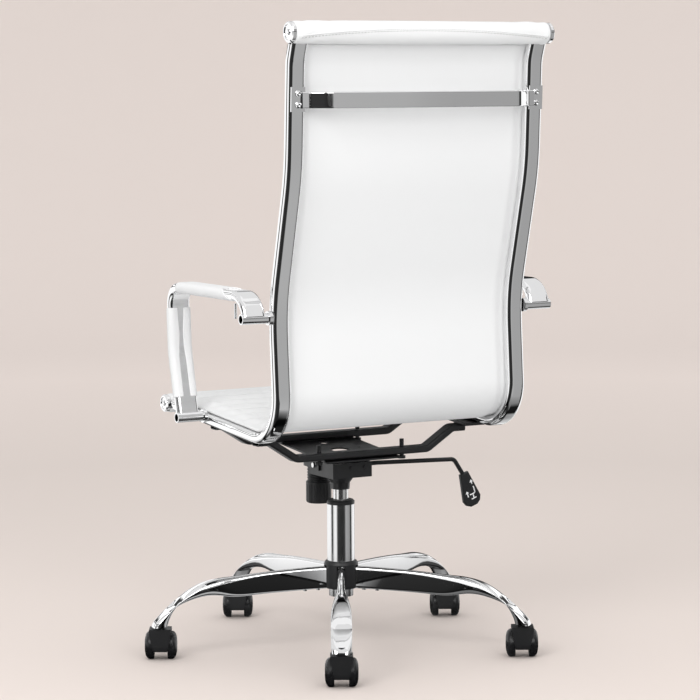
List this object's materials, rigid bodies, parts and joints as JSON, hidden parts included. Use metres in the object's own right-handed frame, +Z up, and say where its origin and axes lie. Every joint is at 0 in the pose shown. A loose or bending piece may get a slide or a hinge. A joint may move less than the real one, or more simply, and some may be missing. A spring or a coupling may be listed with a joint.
{
  "type": "swivel office chair",
  "caption": "High-back swivel office chair: chromed bent side rails, a one-piece padded sling, padded loop arms, a tilting gas-lift seat and a star base on twin-wheel castors.",
  "frame": {"origin": "on the floor, under the seat's swivel axis", "axes": "+Z up along the swivel axis, -Y the way the chair faces, +X towards the sitter's left"},
  "size_m": [0.7088, 0.7087, 1.1307],
  "materials": {
    "chrome_tube": "polished",
    "chrome_base": "polished",
    "lift_steel": "satin",
    "lift_chrome": "polished",
    "screw_steel": "polished",
    "black_plastic": "fine grain",
    "wheel_nylon": "satin moulded",
    "black_steel": "semi-gloss powder coat",
    "lever_grip": "fine grain",
    "leatherette": "smooth, fine grain",
    "zip_metal": "polished"
  },
  "bodies": {
    "base": {"base_hub_sleeve": "lift_steel", "base_hub_cover": "black_plastic", "base_leg_1": "chrome_base", "base_leg_2": "chrome_base", "base_leg_3": "chrome_base", "base_leg_4": "chrome_base", "base_leg_5": "chrome_base", "caster_sockets": "black_plastic", "leg_rivets": "screw_steel", "lift_outer_tube": "lift_chrome", "lift_top_bush": "black_plastic"},
    "lift_rod": {"lift_piston_rod": "lift_steel", "lift_thrust_bearing": "lift_steel"},
    "mechanism": {"lift_cylinder": "lift_steel", "tilt_housing": "black_steel", "tilt_pivot_pin": "lift_steel", "spring_boot": "black_plastic"},
    "valve_button": {"release_button": "lift_steel"},
    "fulcrum": {"lever_fulcrum": "black_steel"},
    "lever": {"lever_rod": "black_steel", "lever_paddle": "lever_grip"},
    "tension_screw": {"tension_bolt": "lift_steel"},
    "knob": {"tension_knob": "black_plastic"},
    "seat": {"tilt_top_plate": "black_steel", "front_crossbar": "black_steel", "rear_crossbar": "black_steel", "crossbar_studs": "black_steel", "seat_side_strips": "black_steel", "side_rail_left": "chrome_tube", "side_rail_right": "chrome_tube", "roll_tubes": "chrome_tube", "roll_end_caps": "chrome_tube", "head_roll_cover": "leatherette", "front_roll_cover": "leatherette", "back_brace": "chrome_tube", "frame_screws": "screw_steel", "sling_pad": "leatherette", "arm_frame_left": "chrome_tube", "arm_frame_right": "chrome_tube", "arm_top_sleeve_left": "leatherette", "arm_top_sleeve_right": "leatherette", "arm_front_sleeve_left": "leatherette", "arm_front_sleeve_right": "leatherette", "arm_mounts": "chrome_tube", "zip_pulls": "zip_metal"},
    "caster_1": {"caster_fork_1": "black_plastic"},
    "wheel_1a": {"caster_wheel_1a": "wheel_nylon"},
    "wheel_1b": {"caster_wheel_1b": "wheel_nylon"},
    "caster_2": {"caster_fork_2": "black_plastic"},
    "wheel_2a": {"caster_wheel_2a": "wheel_nylon"},
    "wheel_2b": {"caster_wheel_2b": "wheel_nylon"},
    "caster_3": {"caster_fork_3": "black_plastic"},
    "wheel_3a": {"caster_wheel_3a": "wheel_nylon"},
    "wheel_3b": {"caster_wheel_3b": "wheel_nylon"},
    "caster_4": {"caster_fork_4": "black_plastic"},
    "wheel_4a": {"caster_wheel_4a": "wheel_nylon"},
    "wheel_4b": {"caster_wheel_4b": "wheel_nylon"},
    "caster_5": {"caster_fork_5": "black_plastic"},
    "wheel_5a": {"caster_wheel_5a": "wheel_nylon"},
    "wheel_5b": {"caster_wheel_5b": "wheel_nylon"}
  },
  "joints": [
    {"name": "seat_swivel", "type": "hinge", "parent": "base", "child": "lift_rod", "pos_m": [0, 0, 0.104], "axis": [0, 0, 1], "continuous": true},
    {"name": "height_slide", "type": "slide", "parent": "lift_rod", "child": "mechanism", "axis": [0, 0, 1], "range_m": [-0.012, 0.088]},
    {"name": "lever_lift", "type": "hinge", "parent": "mechanism", "child": "fulcrum", "pos_m": [-0.036, 0.02, 0.338], "axis": [0, 1, 0], "range_deg": [0, 4], "stiffness_Nm_per_rad": 6, "springref_deg": -3.44},
    {"name": "valve_press", "type": "slide", "parent": "mechanism", "child": "valve_button", "axis": [0, 0, -1], "range_m": [0, 0.003]},
    {"name": "tilt_lock_slide", "type": "slide", "parent": "fulcrum", "child": "lever", "axis": [-1, 0, 0], "range_m": [0, 0.012]},
    {"name": "seat_tilt", "type": "hinge", "parent": "mechanism", "child": "seat", "pos_m": [0, -0.02, 0.337], "axis": [-1, 0, 0], "range_deg": [0, 10], "stiffness_Nm_per_rad": 220, "springref_deg": -14.32},
    {"name": "tension_travel", "type": "slide", "parent": "mechanism", "child": "tension_screw", "axis": [0, 0, 1], "range_m": [0, 0.012]},
    {"name": "tension_turn", "type": "hinge", "parent": "tension_screw", "child": "knob", "pos_m": [0, -0.083, 0.277], "axis": [0, 0, 1], "continuous": true},
    {"name": "caster_swivel_1", "type": "hinge", "parent": "base", "child": "caster_1", "pos_m": [0.16513, 0.2979, 0.06], "axis": [0, 0, 1], "continuous": true},
    {"name": "wheel_spin_1a", "type": "hinge", "parent": "caster_1", "child": "wheel_1a", "pos_m": [0.1564, 0.28215, 0.025], "axis": [0.8746, -0.4848, 0], "continuous": true},
    {"name": "wheel_spin_1b", "type": "hinge", "parent": "caster_1", "child": "wheel_1b", "pos_m": [0.1564, 0.28215, 0.025], "axis": [0.8746, -0.4848, 0], "continuous": true},
    {"name": "caster_swivel_2", "type": "hinge", "parent": "base", "child": "caster_2", "pos_m": [0.33434, -0.06499, 0.06], "axis": [0, 0, 1], "continuous": true},
    {"name": "wheel_spin_2a", "type": "hinge", "parent": "caster_2", "child": "wheel_2a", "pos_m": [0.32562, -0.08073, 0.025], "axis": [0.8746, -0.4848, 0], "continuous": true},
    {"name": "wheel_spin_2b", "type": "hinge", "parent": "caster_2", "child": "wheel_2b", "pos_m": [0.32562, -0.08073, 0.025], "axis": [0.8746, -0.4848, 0], "continuous": true},
    {"name": "caster_swivel_3", "type": "hinge", "parent": "base", "child": "caster_3", "pos_m": [0.04151, -0.33806, 0.06], "axis": [0, 0, 1], "continuous": true},
    {"name": "wheel_spin_3a", "type": "hinge", "parent": "caster_3", "child": "wheel_3a", "pos_m": [0.03278, -0.3538, 0.025], "axis": [0.8746, -0.4848, 0], "continuous": true},
    {"name": "wheel_spin_3b", "type": "hinge", "parent": "caster_3", "child": "wheel_3b", "pos_m": [0.03278, -0.3538, 0.025], "axis": [0.8746, -0.4848, 0], "continuous": true},
    {"name": "caster_swivel_4", "type": "hinge", "parent": "base", "child": "caster_4", "pos_m": [-0.30869, -0.14394, 0.06], "axis": [0, 0, 1], "continuous": true},
    {"name": "wheel_spin_4a", "type": "hinge", "parent": "caster_4", "child": "wheel_4a", "pos_m": [-0.31742, -0.15969, 0.025], "axis": [0.8746, -0.4848, 0], "continuous": true},
    {"name": "wheel_spin_4b", "type": "hinge", "parent": "caster_4", "child": "wheel_4b", "pos_m": [-0.31742, -0.15969, 0.025], "axis": [0.8746, -0.4848, 0], "continuous": true},
    {"name": "caster_swivel_5", "type": "hinge", "parent": "base", "child": "caster_5", "pos_m": [-0.23229, 0.2491, 0.06], "axis": [0, 0, 1], "continuous": true},
    {"name": "wheel_spin_5a", "type": "hinge", "parent": "caster_5", "child": "wheel_5a", "pos_m": [-0.24102, 0.23336, 0.025], "axis": [0.8746, -0.4848, 0], "continuous": true},
    {"name": "wheel_spin_5b", "type": "hinge", "parent": "caster_5", "child": "wheel_5b", "pos_m": [-0.24102, 0.23336, 0.025], "axis": [0.8746, -0.4848, 0], "continuous": true}
  ],
  "couplings": [
    {"joint": "tension_travel", "follows": "seat_tilt", "m_per_rad": 0.063},
    {"joint": "valve_press", "follows": "lever_lift", "m_per_rad": 0.036}
  ]
}
